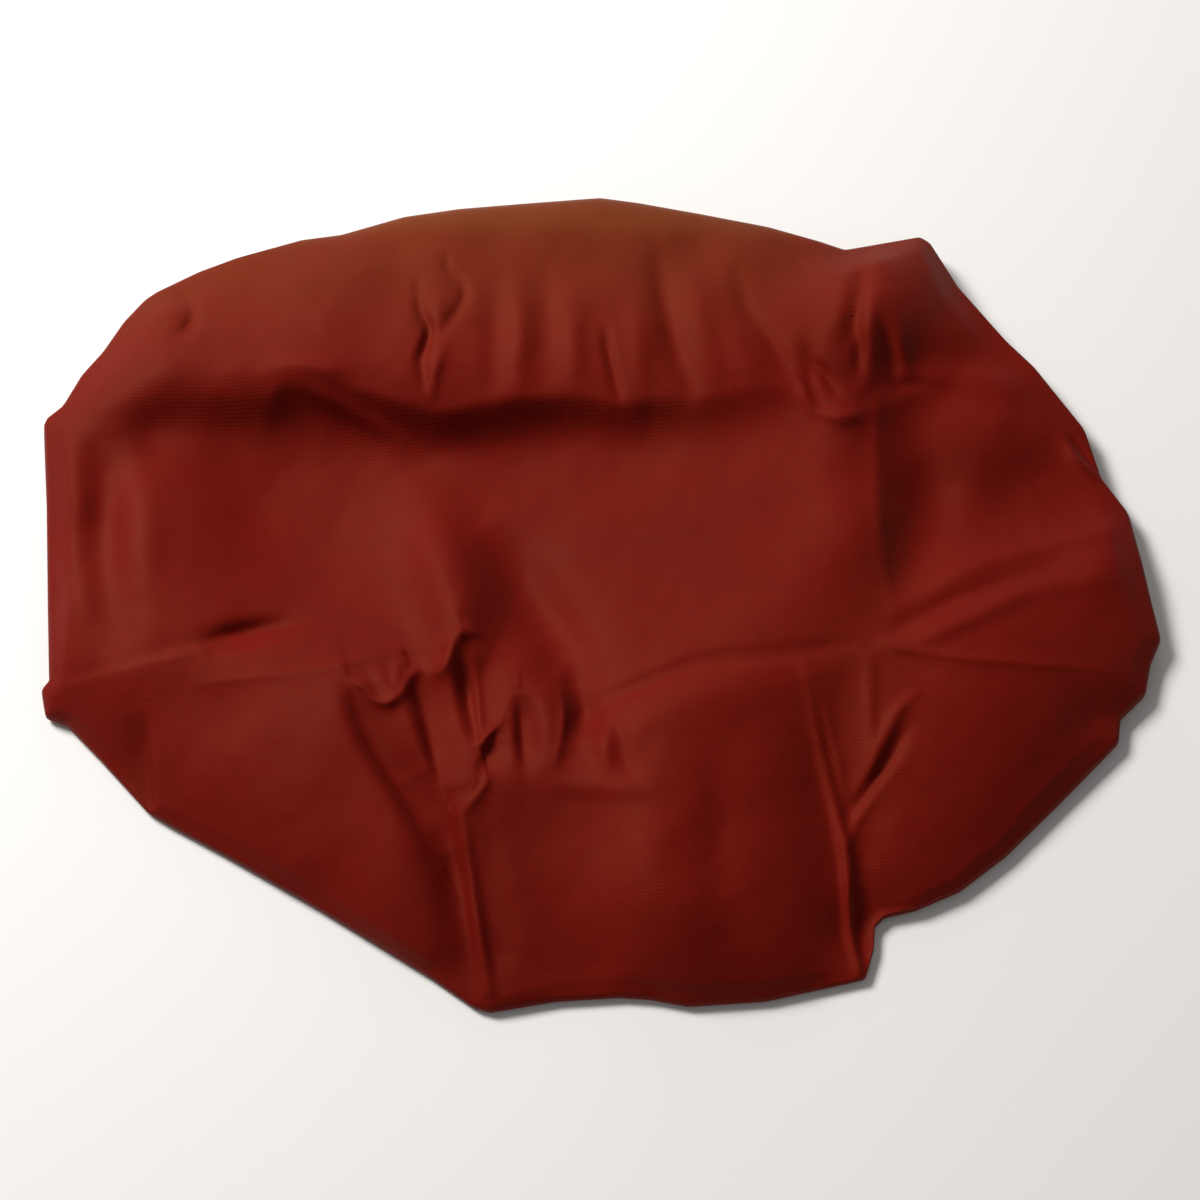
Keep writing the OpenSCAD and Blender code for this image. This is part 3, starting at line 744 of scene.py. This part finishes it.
def stitch_row(name, offset, pitch=0.0052):
    """Lock stitches along the hem at a radial offset: seen from above and from below."""
    bits = []
    n = 4720
    path, nrm, length = oval_loop(n, offset)
    base, _, base_len = oval_loop(1180)
    loop_len = np.hypot(*(np.roll(path, -1, 0) - path).T).sum()
    count = int(round(loop_len / pitch))
    per = n / count
    kk = round(base_len / 0.0093) * 0.0093
    g = np.random.default_rng(int(offset * 1e5))
    for side in (1, -1):
        zf = 0.0115 if side > 0 else 0.0085
        amp = 0.14 if abs(offset - 0.0185) < 0.002 else 0.20
        for i in range(count):
            a0 = i * per + (0 if side > 0 else per / 2)
            idx = a0 + np.linspace(0.07, 0.93, 5) * per
            j = np.floor(idx).astype(int)
            fr = (idx - j)[:, None]
            q = path[j % n] * (1 - fr) + path[(j + 1) % n] * fr
            nn = nrm[j % n]
            s = idx / n * kk
            rip = casing_ripple(s, offset) * amp
            rip = np.maximum(rip, -0.30 * amp) / 1000
            arch = np.array([-0.30, 0.16, 0.22, 0.16, -0.30]) / 1000
            z = zf + side * (rip + 0.0003 + arch)
            tilt = g.normal(0, 0.00008)
            q = q + nn * (np.linspace(-1, 1, 5)[:, None] * (0.00018 + tilt))
            pts = np.column_stack([q, z])
            rad = np.array([0.16, 0.27, 0.30, 0.27, 0.16]) / 1000
            bits.append(tube(pts, rad, 6))
    return join_bits(name, bits)


casing, hem_len = build_casing()
row_in = stitch_row("hem_stitches_inner", 0.0125)
row_out = stitch_row("hem_stitches_outer", 0.0185)

# ---------------------------------------------------------------- release strap
ROOT_X, ROOT_Z = 0.328, 0.0135
STRAP_W, STRAP_T = 0.0246, 0.0014


def strap_path():
    """Middle line of the strap in x and z: in along the upper layer, round the loop, and back below."""
    up = [(-33.4, 0.78), (-28, 0.78), (-20, 0.76), (-10, 0.75), (0, 0.75), (13, 0.8), (26, 1.05), (40, 1.42), (55, 1.6),
          (70, 1.65), (84, 1.5), (94, 1.22), (101, 0.65), (106.3, -0.6), (110, -2.7), (111.5, -5.5), (110.2, -8.2),
          (107, -10.3), (102, -11.85), (95, -12.45), (84, -12.5), (70, -12.5), (56, -12.45), (47, -12.15),
          (39, -10.8), (31, -7.4), (24, -4.2), (18, -1.95), (13, -1.0), (8, -0.78), (0, -0.75), (-10, -0.75), (-20, -0.76),
          (-28, -0.78), (-33.4, -0.78)]
    pts = [(ROOT_X - a / 1000, ROOT_Z + b / 1000, 0.0) for a, b in up]
    return np.array([(a, b) for a, b, c in curve(pts, 4)])


def build_strap():
    c = strap_path()
    # even spacing of about 1.2 mm
    s = np.concatenate([[0], np.cumsum(np.hypot(*(c[1:] - c[:-1]).T))])
    m = int(s[-1] / 0.0012)
    t = np.linspace(0, s[-1], m)
    c = np.stack([np.interp(t, s, c[:, 0]), np.interp(t, s, c[:, 1])], 1)
    for _ in range(2):
        c[1:-1] = 0.25 * c[:-2] + 0.5 * c[1:-1] + 0.25 * c[2:]
    tan = np.gradient(c, axis=0)
    tan /= np.linalg.norm(tan, axis=1)[:, None]
    nor = np.stack([-tan[:, 1], tan[:, 0]], 1)
    # across: a flat band with slightly fuller, rounded edges and a faint lengthwise ridge
    half = STRAP_W / 2
    ys = np.concatenate([np.linspace(-half, -half + 0.0018, 4), np.linspace(-half + 0.004, half - 0.004, 9),
                         np.linspace(half - 0.0018, half, 4)])
    e = (half - np.abs(ys)) / 0.0018
    th = STRAP_T / 2 * np.sqrt(np.clip(1 - (1 - np.clip(e, 0, 1)) ** 2, 0.02, 1))
    th = th * (1 + 0.10 * np.exp(-((half - np.abs(ys) - 0.0016) / 0.0009) ** 2))
    ring_y = np.concatenate([ys, ys[::-1]])
    ring_h = np.concatenate([th, -th[::-1]])
    k = len(ring_y)
    V = np.zeros((m, k, 3))
    # a thread-scale crosswise ribbing
    rib = 0.00005 * np.sin(t * 2 * math.pi / 0.0024)
    for i in range(m):
        h = ring_h * (1 + rib[i] / (STRAP_T / 2))
        V[i, :, 0] = c[i, 0] + nor[i, 0] * h
        V[i, :, 1] = ring_y
        V[i, :, 2] = c[i, 1] + nor[i, 1] * h
    faces = []
    for i in range(m - 1):
        for j in range(k):
            j2 = (j + 1) % k
            faces.append((i * k + j, (i + 1) * k + j, (i + 1) * k + j2, i * k + j2))
    q = k // 2
    for j in range(q - 1):
        a, b = j, j + 1
        faces.append((a, b, k - 1 - b, k - 1 - a))
        o = (m - 1) * k
        faces.append((o + a, o + k - 1 - a, o + k - 1 - b, o + b))
    ob = new_object("release_strap", V.reshape(-1, 3), faces)
    uv = np.zeros((m, k, 2))
    uv[:, :, 0] = t[:, None]
    uv[:, :, 1] = ring_y[None, :]
    set_uv(ob, uv.reshape(-1, 2))
    bm = bmesh.new()
    bm.from_mesh(ob.data)
    bmesh.ops.recalc_face_normals(bm, faces=bm.faces)
    bm.to_mesh(ob.data)
    bm.free()
    return ob, float(t[-1])


strap, strap_len = build_strap()


def bartack(x, z, half=0.0105, width=0.0028, pitch=0.00050):
    """A dense zigzag of thread across the strap."""
    m = int(2 * half / pitch)
    ys = np.linspace(-half, half, m)
    pts = [(x + (width / 2 if i % 2 else -width / 2), y, z + 0.00005 * math.sin(i * 1.7)) for i, y in enumerate(ys)]
    core = [(x, -half, z - 0.00008), (x, half, z - 0.00008)]
    return [tube(np.array(pts), 0.00024, 6), tube(np.array(core), 0.00034, 6)]


tack_bits = []
for bx in (0.352, 0.358):
    tack_bits += bartack(bx, 0.01525)
    tack_bits += bartack(bx, 0.00695)
tacks = join_bits("strap_bartacks", tack_bits)


def build_patch():
    """The small doubler under the hem where the strap is sewn through."""
    lo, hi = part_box("grab_patch")
    nx, ny = 14, 44
    xs = np.linspace(lo[0] + 0.0002, hi[0] - 0.0002, nx)
    ys = np.linspace(lo[1] + 0.0002, hi[1] - 0.0002, ny)
    X, Y = np.meshgrid(xs, ys, indexing="ij")
    # rounded corners
    cx, cy = (lo[0] + hi[0]) / 2, (lo[1] + hi[1]) / 2
    a, b = (X - cx) / (xs[-1] - cx), (Y - cy) / (ys[-1] - cy)
    X = X - 0.0005 * a * np.abs(b) ** 18
    Y = Y - 0.0008 * b * np.abs(a) ** 14
    Z = 0.0076 + 0.00010 * np.sin(Y * 900) + 0.00006 * plane_noise(X, Y, 0.006, 21)
    Vv = np.stack([X, Y, Z], -1).reshape(-1, 3)
    idx = np.arange(nx * ny).reshape(nx, ny)
    F = [(idx[i, j], idx[i + 1, j], idx[i + 1, j + 1], idx[i, j + 1]) for i in range(nx - 1) for j in range(ny - 1)]
    ob = new_object("strap_doubler", Vv, F)
    set_uv(ob, Vv[:, :2])
    mod = ob.modifiers.new("thick", "SOLIDIFY")
    mod.thickness = 0.0006
    mod.offset = 0.0
    apply_modifiers(ob)
    return ob


patch = build_patch()

# ---------------------------------------------------------------- materials
def srgb(r, g, b):
    return tuple(((c / 255 + 0.055) / 1.055) ** 2.4 if c > 10 else c / 255 / 12.92 for c in (r, g, b)) + (1,)


def new_mat(name):
    m = bpy.data.materials.new(name)
    m.use_nodes = True
    nt = m.node_tree
    return m, nt, nt.nodes["Principled BSDF"]


def node(nt, kind, **kw):
    n = nt.nodes.new(kind)
    for k, val in kw.items():
        setattr(n, k, val)
    return n


def ramp(nt, stops):
    r = nt.nodes.new("ShaderNodeValToRGB")
    el = r.color_ramp.elements
    while len(el) < len(stops):
        el.new(0.5)
    for e, (p, c) in zip(el, stops):
        e.position = p
        e.color = c
    return r


def cloth_material(name, main, deep, warm, rib=0.0026, rib_h=0.000034, rough=0.62, sheen=0.17, painted_crest_sheen=None):
    """Coated nylon: soft colour drift, a fine crosswise rib, a fine weave, a warm sheen, and optionally a painted brown
    sheen on the far rim's crest.
    """
    m, nt, bsdf = new_mat(name)
    L = nt.links
    geo = node(nt, "ShaderNodeTexCoord")
    # colour drift
    n1 = node(nt, "ShaderNodeTexNoise")
    n1.inputs["Scale"].default_value = 7.0
    n1.inputs["Detail"].default_value = 3.0
    L.new(geo.outputs["Object"], n1.inputs["Vector"])
    r1 = ramp(nt, [(0.30, deep), (0.55, main), (0.75, warm)])
    L.new(n1.outputs["Fac"], r1.inputs["Fac"])
    # fine mottling of the coating
    n2 = node(nt, "ShaderNodeTexNoise")
    n2.inputs["Scale"].default_value = 160.0
    n2.inputs["Detail"].default_value = 4.0
    L.new(geo.outputs["Object"], n2.inputs["Vector"])
    mix = node(nt, "ShaderNodeMixRGB", blend_type="MULTIPLY")
    mix.inputs["Fac"].default_value = 0.35
    r2 = ramp(nt, [(0.3, (0.82, 0.82, 0.82, 1)), (0.7, (1.08, 1.06, 1.05, 1))])
    L.new(n2.outputs["Fac"], r2.inputs["Fac"])
    L.new(r1.outputs["Color"], mix.inputs["Color1"])
    L.new(r2.outputs["Color"], mix.inputs["Color2"])
    colour = mix.outputs["Color"]
    if painted_crest_sheen:
        # painted sheen: the far rim's crest is painted browner as a grazing highlight, towards the far side, fading off
        # to the right, with a narrow band near the top edge and only where the cloth stands high; and a few specks of
        # lint lie about
        pos = node(nt, "ShaderNodeSeparateXYZ")
        L.new(geo.outputs["Object"], pos.inputs["Vector"])
        fr = node(nt, "ShaderNodeMapRange", interpolation_type="SMOOTHSTEP")
        fr.inputs["From Min"].default_value = 0.15
        fr.inputs["From Max"].default_value = 0.34
        fr.inputs["To Max"].default_value = 0.6
        L.new(pos.outputs["Y"], fr.inputs["Value"])
        fx = node(nt, "ShaderNodeMapRange", interpolation_type="SMOOTHSTEP")
        fx.inputs["From Min"].default_value = 0.12
        fx.inputs["From Max"].default_value = 0.26
        fx.inputs["To Min"].default_value = 1.0
        fx.inputs["To Max"].default_value = 0.3
        L.new(pos.outputs["X"], fx.inputs["Value"])
        # a narrow band of painted sheen along the far crest's top edge
        band = node(nt, "ShaderNodeMapRange", interpolation_type="SMOOTHSTEP")
        band.inputs["From Min"].default_value = 0.296
        band.inputs["From Max"].default_value = 0.322
        band.inputs["To Max"].default_value = 0.5
        L.new(pos.outputs["Y"], band.inputs["Value"])
        fs = node(nt, "ShaderNodeMath", operation="ADD")
        L.new(fr.outputs[0], fs.inputs[0])
        L.new(band.outputs[0], fs.inputs[1])
        fp = node(nt, "ShaderNodeMath", operation="MULTIPLY")
        up = node(nt, "ShaderNodeMapRange", interpolation_type="SMOOTHSTEP")
        up.inputs["From Min"].default_value = 0.017
        up.inputs["From Max"].default_value = 0.032
        L.new(pos.outputs["Z"], up.inputs["Value"])
        fu = node(nt, "ShaderNodeMath", operation="MULTIPLY")
        L.new(fs.outputs[0], fu.inputs[0])
        L.new(up.outputs[0], fu.inputs[1])
        L.new(fu.outputs[0], fp.inputs[0])
        L.new(fx.outputs[0], fp.inputs[1])
        # mix the painted brown sheen colour in by this mask
        fm = node(nt, "ShaderNodeMixRGB")
        fm.inputs["Color2"].default_value = painted_crest_sheen
        L.new(fp.outputs[0], fm.inputs["Fac"])
        L.new(colour, fm.inputs["Color1"])
        vor = node(nt, "ShaderNodeTexVoronoi")
        vor.inputs["Scale"].default_value = 9.0
        L.new(geo.outputs["Object"], vor.inputs["Vector"])
        near = node(nt, "ShaderNodeMath", operation="LESS_THAN")
        near.inputs[1].default_value = 0.008
        L.new(vor.outputs["Distance"], near.inputs[0])
        lm = node(nt, "ShaderNodeMixRGB")
        lm.inputs["Color2"].default_value = srgb(214, 200, 180)
        L.new(near.outputs[0], lm.inputs["Fac"])
        L.new(fm.outputs["Color"], lm.inputs["Color1"])
        colour = lm.outputs["Color"]
    L.new(colour, bsdf.inputs["Base Color"])
    # rib and weave as relief
    sep = node(nt, "ShaderNodeSeparateXYZ")
    L.new(geo.outputs["UV"], sep.inputs["Vector"])

    def wave(out, pitch):
        k = node(nt, "ShaderNodeMath", operation="MULTIPLY")
        k.inputs[1].default_value = 2 * math.pi / pitch
        L.new(out, k.inputs[0])
        s = node(nt, "ShaderNodeMath", operation="SINE")
        L.new(k.outputs[0], s.inputs[0])
        return s

    # a little wander, so that the ribs aren't ruler straight
    wob = node(nt, "ShaderNodeTexNoise")
    wob.inputs["Scale"].default_value = 9.0
    L.new(geo.outputs["Object"], wob.inputs["Vector"])
    wy = node(nt, "ShaderNodeMath", operation="MULTIPLY_ADD")
    wy.inputs[1].default_value = 0.010
    L.new(wob.outputs["Fac"], wy.inputs[0])
    L.new(sep.outputs["Y"], wy.inputs[2])
    ribs = wave(wy.outputs[0], rib)
    fine_y = wave(wy.outputs[0], 0.0007)
    fine_x = wave(sep.outputs["X"], 0.0007)
    wv = node(nt, "ShaderNodeMath", operation="MULTIPLY")
    L.new(fine_x.outputs[0], wv.inputs[0])
    L.new(fine_y.outputs[0], wv.inputs[1])
    # the rib shows more in some places than in others
    pn = node(nt, "ShaderNodeTexNoise")
    pn.inputs["Scale"].default_value = 5.0
    L.new(geo.outputs["Object"], pn.inputs["Vector"])
    pr = ramp(nt, [(0.42, (0.25, 0.25, 0.25, 1)), (0.62, (1, 1, 1, 1))])
    L.new(pn.outputs["Fac"], pr.inputs["Fac"])
    rr = node(nt, "ShaderNodeMath", operation="MULTIPLY")
    L.new(ribs.outputs[0], rr.inputs[0])
    L.new(pr.outputs["Color"], rr.inputs[1])
    b1 = node(nt, "ShaderNodeBump")
    b1.inputs["Strength"].default_value = 0.9
    b1.inputs["Distance"].default_value = rib_h
    L.new(rr.outputs[0], b1.inputs["Height"])
    b2 = node(nt, "ShaderNodeBump")
    b2.inputs["Strength"].default_value = 0.5
    b2.inputs["Distance"].default_value = 0.00003
    L.new(wv.outputs[0], b2.inputs["Height"])
    L.new(b1.outputs["Normal"], b2.inputs["Normal"])
    # soft creasing of the coating
    n3 = node(nt, "ShaderNodeTexNoise")
    n3.inputs["Scale"].default_value = 42.0
    n3.inputs["Detail"].default_value = 5.0
    n3.inputs["Distortion"].default_value = 0.6
    L.new(geo.outputs["Object"], n3.inputs["Vector"])
    b3 = node(nt, "ShaderNodeBump")
    b3.inputs["Strength"].default_value = 0.30
    b3.inputs["Distance"].default_value = 0.0006
    L.new(n3.outputs["Fac"], b3.inputs["Height"])
    L.new(b2.outputs["Normal"], b3.inputs["Normal"])
    L.new(b3.outputs["Normal"], bsdf.inputs["Normal"])
    rgh = node(nt, "ShaderNodeMapRange")
    rgh.inputs["To Min"].default_value = rough - 0.06
    rgh.inputs["To Max"].default_value = rough + 0.08
    L.new(n2.outputs["Fac"], rgh.inputs["Value"])
    L.new(rgh.outputs[0], bsdf.inputs["Roughness"])
    bsdf.inputs["Sheen Weight"].default_value = sheen
    bsdf.inputs["Sheen Roughness"].default_value = 0.35
    bsdf.inputs["Sheen Tint"].default_value = srgb(158, 104, 56)
    bsdf.inputs["Specular IOR Level"].default_value = 0.14
    bsdf.inputs["Specular Tint"].default_value = srgb(255, 205, 150)
    return m


# the last colour is a painted brown sheen for the far rim's crest
CLOTH = cloth_material("coated_nylon_red_brown", srgb(110, 14, 9), srgb(101, 12, 8), srgb(108, 19, 10),
                       painted_crest_sheen=srgb(110, 47, 18))
cloth.data.materials.append(CLOTH)
BINDING = cloth_material("hem_binding_red_brown", srgb(92, 19, 14), srgb(82, 16, 12), srgb(96, 24, 16),
                         rib=0.0011, rib_h=0.00005, rough=0.7, sheen=0.25)
casing.data.materials.append(BINDING)
patch.data.materials.append(BINDING)


def thread_material(name, col, twist=0.0009):
    m, nt, bsdf = new_mat(name)
    L = nt.links
    tc = node(nt, "ShaderNodeTexCoord")
    w = node(nt, "ShaderNodeTexWave", wave_type="BANDS", bands_direction="DIAGONAL")
    w.inputs["Scale"].default_value = 1 / twist / 6
    w.inputs["Distortion"].default_value = 1.5
    L.new(tc.outputs["Object"], w.inputs["Vector"])
    r = ramp(nt, [(0.2, tuple(c * 0.6 for c in col[:3]) + (1,)), (0.8, col)])
    L.new(w.outputs["Fac"], r.inputs["Fac"])
    L.new(r.outputs["Color"], bsdf.inputs["Base Color"])
    b = node(nt, "ShaderNodeBump")
    b.inputs["Strength"].default_value = 0.6
    b.inputs["Distance"].default_value = 0.00008
    L.new(w.outputs["Fac"], b.inputs["Height"])
    L.new(b.outputs["Normal"], bsdf.inputs["Normal"])
    bsdf.inputs["Roughness"].default_value = 0.55
    bsdf.inputs["Sheen Weight"].default_value = 0.3
    return m


THREAD = thread_material("thread_dark_red", srgb(84, 22, 17))
TACK = thread_material("thread_black", srgb(38, 34, 33))
for o in (row_in, row_out):
    o.data.materials.append(THREAD)
tacks.data.materials.append(TACK)


def webbing_material():
    """Black polyester webbing: a chevron weave of about 1.1 mm."""
    m, nt, bsdf = new_mat("webbing_black")
    L = nt.links
    tc = node(nt, "ShaderNodeTexCoord")
    sep = node(nt, "ShaderNodeSeparateXYZ")
    L.new(tc.outputs["UV"], sep.inputs["Vector"])

    def mth(op, a, b=None):
        k = node(nt, "ShaderNodeMath", operation=op)
        for i, q in enumerate((a, b)):
            if q is None:
                continue
            if isinstance(q, (int, float)):
                k.inputs[i].default_value = q
            else:
                L.new(q, k.inputs[i])
        return k.outputs[0]

    zig = mth("PINGPONG", sep.outputs["Y"], 0.0031)
    ph = mth("MULTIPLY", mth("ADD", mth("MULTIPLY", sep.outputs["X"], 1.0), mth("MULTIPLY", zig, 1.2)),
             2 * math.pi / 0.0022)
    warp = mth("MULTIPLY", sep.outputs["Y"], 2 * math.pi / 0.00105)
    h = mth("ADD", mth("MULTIPLY", mth("SINE", ph), 0.6), mth("MULTIPLY", mth("SINE", warp), 0.5))
    r = ramp(nt, [(0.15, srgb(16, 15, 15)), (0.9, srgb(48, 45, 43))])
    hh = mth("MULTIPLY_ADD", h, 0.45)
    hh.node.inputs[2].default_value = 0.5
    L.new(hh, r.inputs["Fac"])
    L.new(r.outputs["Color"], bsdf.inputs["Base Color"])
    b = node(nt, "ShaderNodeBump")
    b.inputs["Strength"].default_value = 0.8
    b.inputs["Distance"].default_value = 0.00018
    L.new(h, b.inputs["Height"])
    L.new(b.outputs["Normal"], bsdf.inputs["Normal"])
    bsdf.inputs["Roughness"].default_value = 0.6
    bsdf.inputs["Sheen Weight"].default_value = 0.25
    return m


WEB = webbing_material()
strap.data.materials.append(WEB)


def braid_material(name, c1, c2, scale):
    m, nt, bsdf = new_mat(name)
    L = nt.links
    tc = node(nt, "ShaderNodeTexCoord")
    v = node(nt, "ShaderNodeTexVoronoi", feature="F1")
    v.inputs["Scale"].default_value = scale
    L.new(tc.outputs["Object"], v.inputs["Vector"])
    r = ramp(nt, [(0.1, c1), (0.6, c2)])
    L.new(v.outputs["Distance"], r.inputs["Fac"])
    L.new(r.outputs["Color"], bsdf.inputs["Base Color"])
    b = node(nt, "ShaderNodeBump")
    b.inputs["Strength"].default_value = 0.7
    b.inputs["Distance"].default_value = 0.0003
    b.invert = True
    L.new(v.outputs["Distance"], b.inputs["Height"])
    L.new(b.outputs["Normal"], bsdf.inputs["Normal"])
    bsdf.inputs["Roughness"].default_value = 0.6
    return m


def metal_material():
    m, nt, bsdf = new_mat("crimp_steel_brushed")
    L = nt.links
    tc = node(nt, "ShaderNodeTexCoord")
    n = node(nt, "ShaderNodeTexNoise")
    n.inputs["Scale"].default_value = 700.0
    n.inputs["Detail"].default_value = 3.0
    L.new(tc.outputs["Object"], n.inputs["Vector"])
    r = node(nt, "ShaderNodeMapRange")
    r.inputs["To Min"].default_value = 0.25
    r.inputs["To Max"].default_value = 0.5
    L.new(n.outputs["Fac"], r.inputs["Value"])
    L.new(r.outputs[0], bsdf.inputs["Roughness"])
    bsdf.inputs["Metallic"].default_value = 1.0
    bsdf.inputs["Base Color"].default_value = srgb(170, 170, 172)
    return m


CAD_MATS = {"cord_sheath": braid_material("cord_braid_black", srgb(50, 48, 46), srgb(14, 14, 14), 900),
            "cord_core": braid_material("cord_rubber", srgb(196, 186, 160), srgb(170, 160, 134), 400),
            "cord_crimps": metal_material()}
for k, mt in CAD_MATS.items():
    ob = frame["nodes"][k] if not isinstance(frame["nodes"], (list, tuple)) else bpy.data.objects[k]
    ob.data.materials.clear()
    ob.data.materials.append(mt)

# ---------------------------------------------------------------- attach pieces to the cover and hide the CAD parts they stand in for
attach(cloth, "cover")
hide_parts("deck_cloth")

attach(casing, "cover")
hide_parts("hem_casing")

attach(row_in, "cover")
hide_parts("casing_stitch_inner")
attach(row_out, "cover")
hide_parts("casing_stitch_outer")

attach(tacks, "cover")
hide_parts("grab_loop_bartack")

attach(patch, "cover")
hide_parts("grab_patch")

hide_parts("grab_loop", "grab_loop_root")
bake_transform(strap)
print("hem length", round(hem_len, 4), "strap", round(strap_len, 4))

# ---------------------------------------------------------------- floor and light
bpy.ops.mesh.primitive_plane_add(size=12, location=(0, 0, -0.0002))
floor = bpy.context.object
floor.name = "floor"
fm, fnt, fb = new_mat("pale_floor")
fb.inputs["Base Color"].default_value = (0.92, 0.92, 0.92, 1)
fb.inputs["Roughness"].default_value = 0.9
floor.data.materials.append(fm)

world = bpy.data.worlds.new("studio")
scene.world = world
world.use_nodes = True
world.node_tree.nodes["Background"].inputs["Color"].default_value = (1.0, 0.99, 0.97, 1)
world.node_tree.nodes["Background"].inputs["Strength"].default_value = 0.20


def area_light(name, loc, aim, size, power, colour=(1, 1, 1)):
    d = bpy.data.lights.new(name, "AREA")
    d.shape = "SQUARE"
    d.size = size
    d.energy = power
    d.color = colour
    o = bpy.data.objects.new(name, d)
    scene.collection.objects.link(o)
    o.location = loc
    o.rotation_euler = (Vector(aim) - Vector(loc)).to_track_quat("-Z", "Y").to_euler()
    return o


area_light("key", (-2.00, 1.55, 2.52), (0, 0, 0), 1.15, 147, (1.0, 0.97, 0.93))
area_light("far_window", (0.2, 2.6, 0.9), (0, 0, 0), 1.2, 8, (1.0, 0.95, 0.88))
scene.view_settings.view_transform = "Standard"
scene.view_settings.look = "None"
